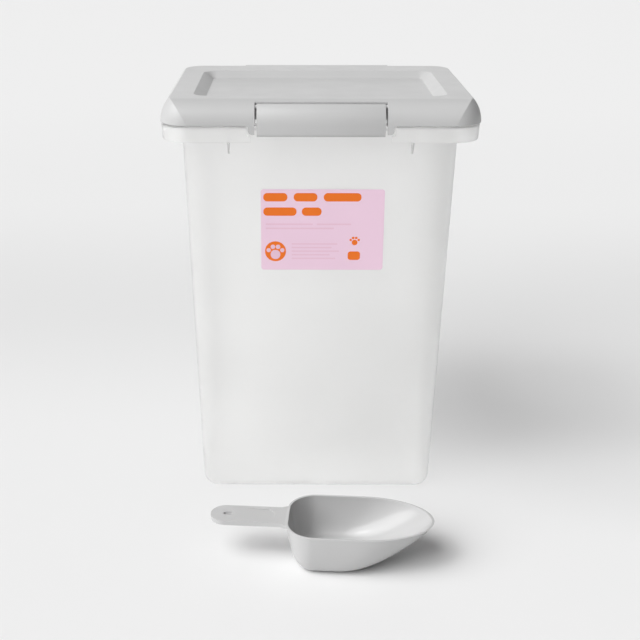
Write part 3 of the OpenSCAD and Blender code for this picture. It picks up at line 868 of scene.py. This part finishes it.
def solidify(piece, thickness):     # inwards from the faces it has
    makeActive(piece)
    wall = piece.modifiers.new("wall", "SOLIDIFY")
    wall.thickness = thickness
    wall.offset = -1
    wall.use_even_offset = True
    bpy.ops.object.modifier_apply(modifier=wall.name)


def subdivide(piece, levels):
    makeActive(piece)
    smooth = piece.modifiers.new("smooth", "SUBSURF")
    smooth.levels = levels
    smooth.render_levels = levels
    bpy.ops.object.modifier_apply(modifier=smooth.name)


def makeScoop(shape):
    bowl = makeBowl(shape)
    subdivide(bowl, 2)
    plug = duplicatePiece(bowl, "plug")     # keeps the handle out of the bowl
    top, middle, share = scoopHigh.z, (shape["back"] + shape["straight"]) / 2, shape["plugShare"]
    pickEdges(plug, lambda a, b: min(a.z, b.z) > top - shape["rimBand"])
    bpy.ops.mesh.extrude_region_move(TRANSFORM_OT_translate={"value": (0, 0, shape["plugRise"])})
    closeOpenings()
    bpy.ops.object.mode_set(mode="EDIT")
    bpy.ops.mesh.select_all(action="SELECT")
    bpy.ops.transform.resize(value=(share, share, 1), center_override=(middle, 0, 0))
    bpy.ops.object.mode_set(mode="OBJECT")
    solidify(bowl, shape["wall"])
    low, high = shape["trim"]
    above = addBlock("above", (*low, top), (*high, top + shape["trimHeight"]))
    combine(bowl, above, "DIFFERENCE", "MANIFOLD")
    softenEdges(bowl, shape["edgeRound"], 3, 60)
    handle = makeHandle(shape)
    combine(handle, plug, "DIFFERENCE", "MANIFOLD")
    combine(bowl, handle, "UNION", "MANIFOLD")
    makeActive(bowl)
    bowl.rotation_euler = (0, 0, radians(shape["turn"]))
    bowl.location = (*shape["middle"], 0)
    applyPlace(bowl)
    tidyMesh(bowl)
    smoothByAngle(bowl, 40)
    return bowl


scoop = makeScoop(scoopShape)
finishPiece(scoop, makeFinish("gloss"), "scoop", "grey_plastic", "scoop")


# the label: a thin film on the front wall, printed with plain shapes

labelShape = {
    "film": 0.00025,
    "round": 0.003,
    "stands": 0.00003,        # off the wall
    "ink": 0.00006,
    "inkSunk": 0.00002,       # into the film
    "markLift": 0.00001,      # of the disc and the paws above the film's thickness
    "pawLift": 0.00004,       # of the disc's paw above the disc
    # each bar is left, low, right, high, measured from the label's middle
    "head": ((-0.0615, 0.0310, -0.0365, 0.0400), (-0.0300, 0.0310, -0.0055, 0.0400),
             (0.0010, 0.0310, 0.0400, 0.0400),
             (-0.0615, 0.0155, -0.0270, 0.0245), (-0.0215, 0.0155, -0.0010, 0.0245)),
    "headRound": 0.0042,
    "orange": ((0.0270, -0.0330, 0.0400, -0.0235), ),
    "orangeRound": 0.003,
    "pale": ((-0.0590, 0.0055, -0.0100, 0.0072), (-0.0060, 0.0055, 0.0300, 0.0072),
             (-0.0590, 0.0010, 0.0120, 0.0027),
             (-0.0320, -0.0160, 0.0160, -0.0145), (-0.0320, -0.0200, 0.0100, -0.0185),
             (-0.0320, -0.0240, 0.0180, -0.0225), (-0.0320, -0.0280, 0.0080, -0.0265),
             (-0.0320, -0.0320, 0.0140, -0.0305)),
    "paleRound": 0.0005,
    # the disc is across, up, radius; a paw is across, up, size, and each of its pads across, up, radius
    "disc": (-0.0490, -0.0235, 0.0110),
    "paws": {"smallPaw": (0.0340, -0.0120, 1.0), "discPaw": (-0.0490, -0.0243, 1.7)},
    "pads": ((0, -0.0016, 0.0030), (-0.0042, 0.0012, 0.0013), (-0.0016, 0.0034, 0.0014),
             (0.0016, 0.0034, 0.0014), (0.0042, 0.0012, 0.0013)),
    "padShare": 0.95,         # corner radius as a share of the half width: under 1, so that no corners meet
    "discShare": 0.98,
    "barSteps": 6,
    "discSteps": 16,
}


def laidOnWall(plate, thick, lift):     # thickens a plate drawn flat and leans it against the front wall
    thickenPlate(thick)
    middle = (labelLow + labelHigh) / 2
    lean = wallLean(tubShape)
    wallY = -(tubHigh.y - lean * (tubHigh.z - middle.z))
    makeActive(plate)
    plate.rotation_euler = (pi / 2 + atan2(lean, 1), 0, 0)
    plate.location = (middle.x, wallY - lift, middle.z)
    applyPlace(plate)
    return plate


def addBar(name, low, high, radius, steps=labelShape["barSteps"]):
    return addPlate(name, low, high, 0, radius, steps)


def joinPieces(pieces, name):
    deselectAll()
    for piece in pieces:
        piece.select_set(True)
    bpy.context.view_layer.objects.active = pieces[0]
    if len(pieces) > 1:
        bpy.ops.object.join()
    joined = bpy.context.object
    joined.name = name
    return joined


def makeFilm(shape):
    wide, high = (labelHigh.x - labelLow.x) / 2, (labelHigh.z - labelLow.z) / 2
    film = addBar("labelFilm", (-wide, -high), (wide, high), shape["round"])
    return laidOnWall(film, shape["film"], shape["stands"])


def makePrint(shape, name, bars, radius):
    lift = shape["stands"] + shape["film"] - shape["inkSunk"]
    pieces = [laidOnWall(addBar(name, bar[:2], bar[2:], radius), shape["ink"], lift) for bar in bars]
    return joinPieces(pieces, name)


def makePaw(shape, name, lift):
    pieces = []
    x, y, size = shape["paws"][name]
    for across, up, radius in shape["pads"]:
        a, b, r = x + across * size, y + up * size, radius * size
        pad = addBar("pad", (a - r, b - r), (a + r, b + r), r * shape["padShare"])
        pieces.append(laidOnWall(pad, shape["ink"], lift))
    return joinPieces(pieces, name)


def makeDisc(shape, lift):
    x, y, r = shape["disc"]
    disc = addBar("orangeDisc", (x - r, y - r), (x + r, y + r), r * shape["discShare"], shape["discSteps"])
    return laidOnWall(disc, shape["ink"], lift)


film = makeFilm(labelShape)
finishPiece(film, makeFinish("film"), "tub", "label_film", "label")
orangeInk, paleInk = makeFinish("orangeInk"), makeFinish("paleInk")
for name, bars, ink in (("headlineBars", "head", orangeInk), ("orangeMarks", "orange", orangeInk),
                        ("smallBars", "pale", paleInk)):
    printed = makePrint(labelShape, name, labelShape[bars], labelShape[bars + "Round"])
    finishPiece(printed, ink, "tub", "label_film")
inkLift = labelShape["film"] + labelShape["markLift"]
finishPiece(makeDisc(labelShape, inkLift), orangeInk, "tub", "label_film")
finishPiece(makePaw(labelShape, "smallPaw", inkLift), orangeInk, "tub", "label_film")
finishPiece(makePaw(labelShape, "discPaw", inkLift + labelShape["pawLift"]), paleInk, "tub", "label_film")


# the CAD lid, pins and seal keep their shapes

rubber = makeFinish("rubber")
for name, finish in (("lid", grey), ("hinge_pins", grey), ("lid_seal", rubber)):
    nodes[name].data.materials.clear()
    nodes[name].data.materials.append(finish)
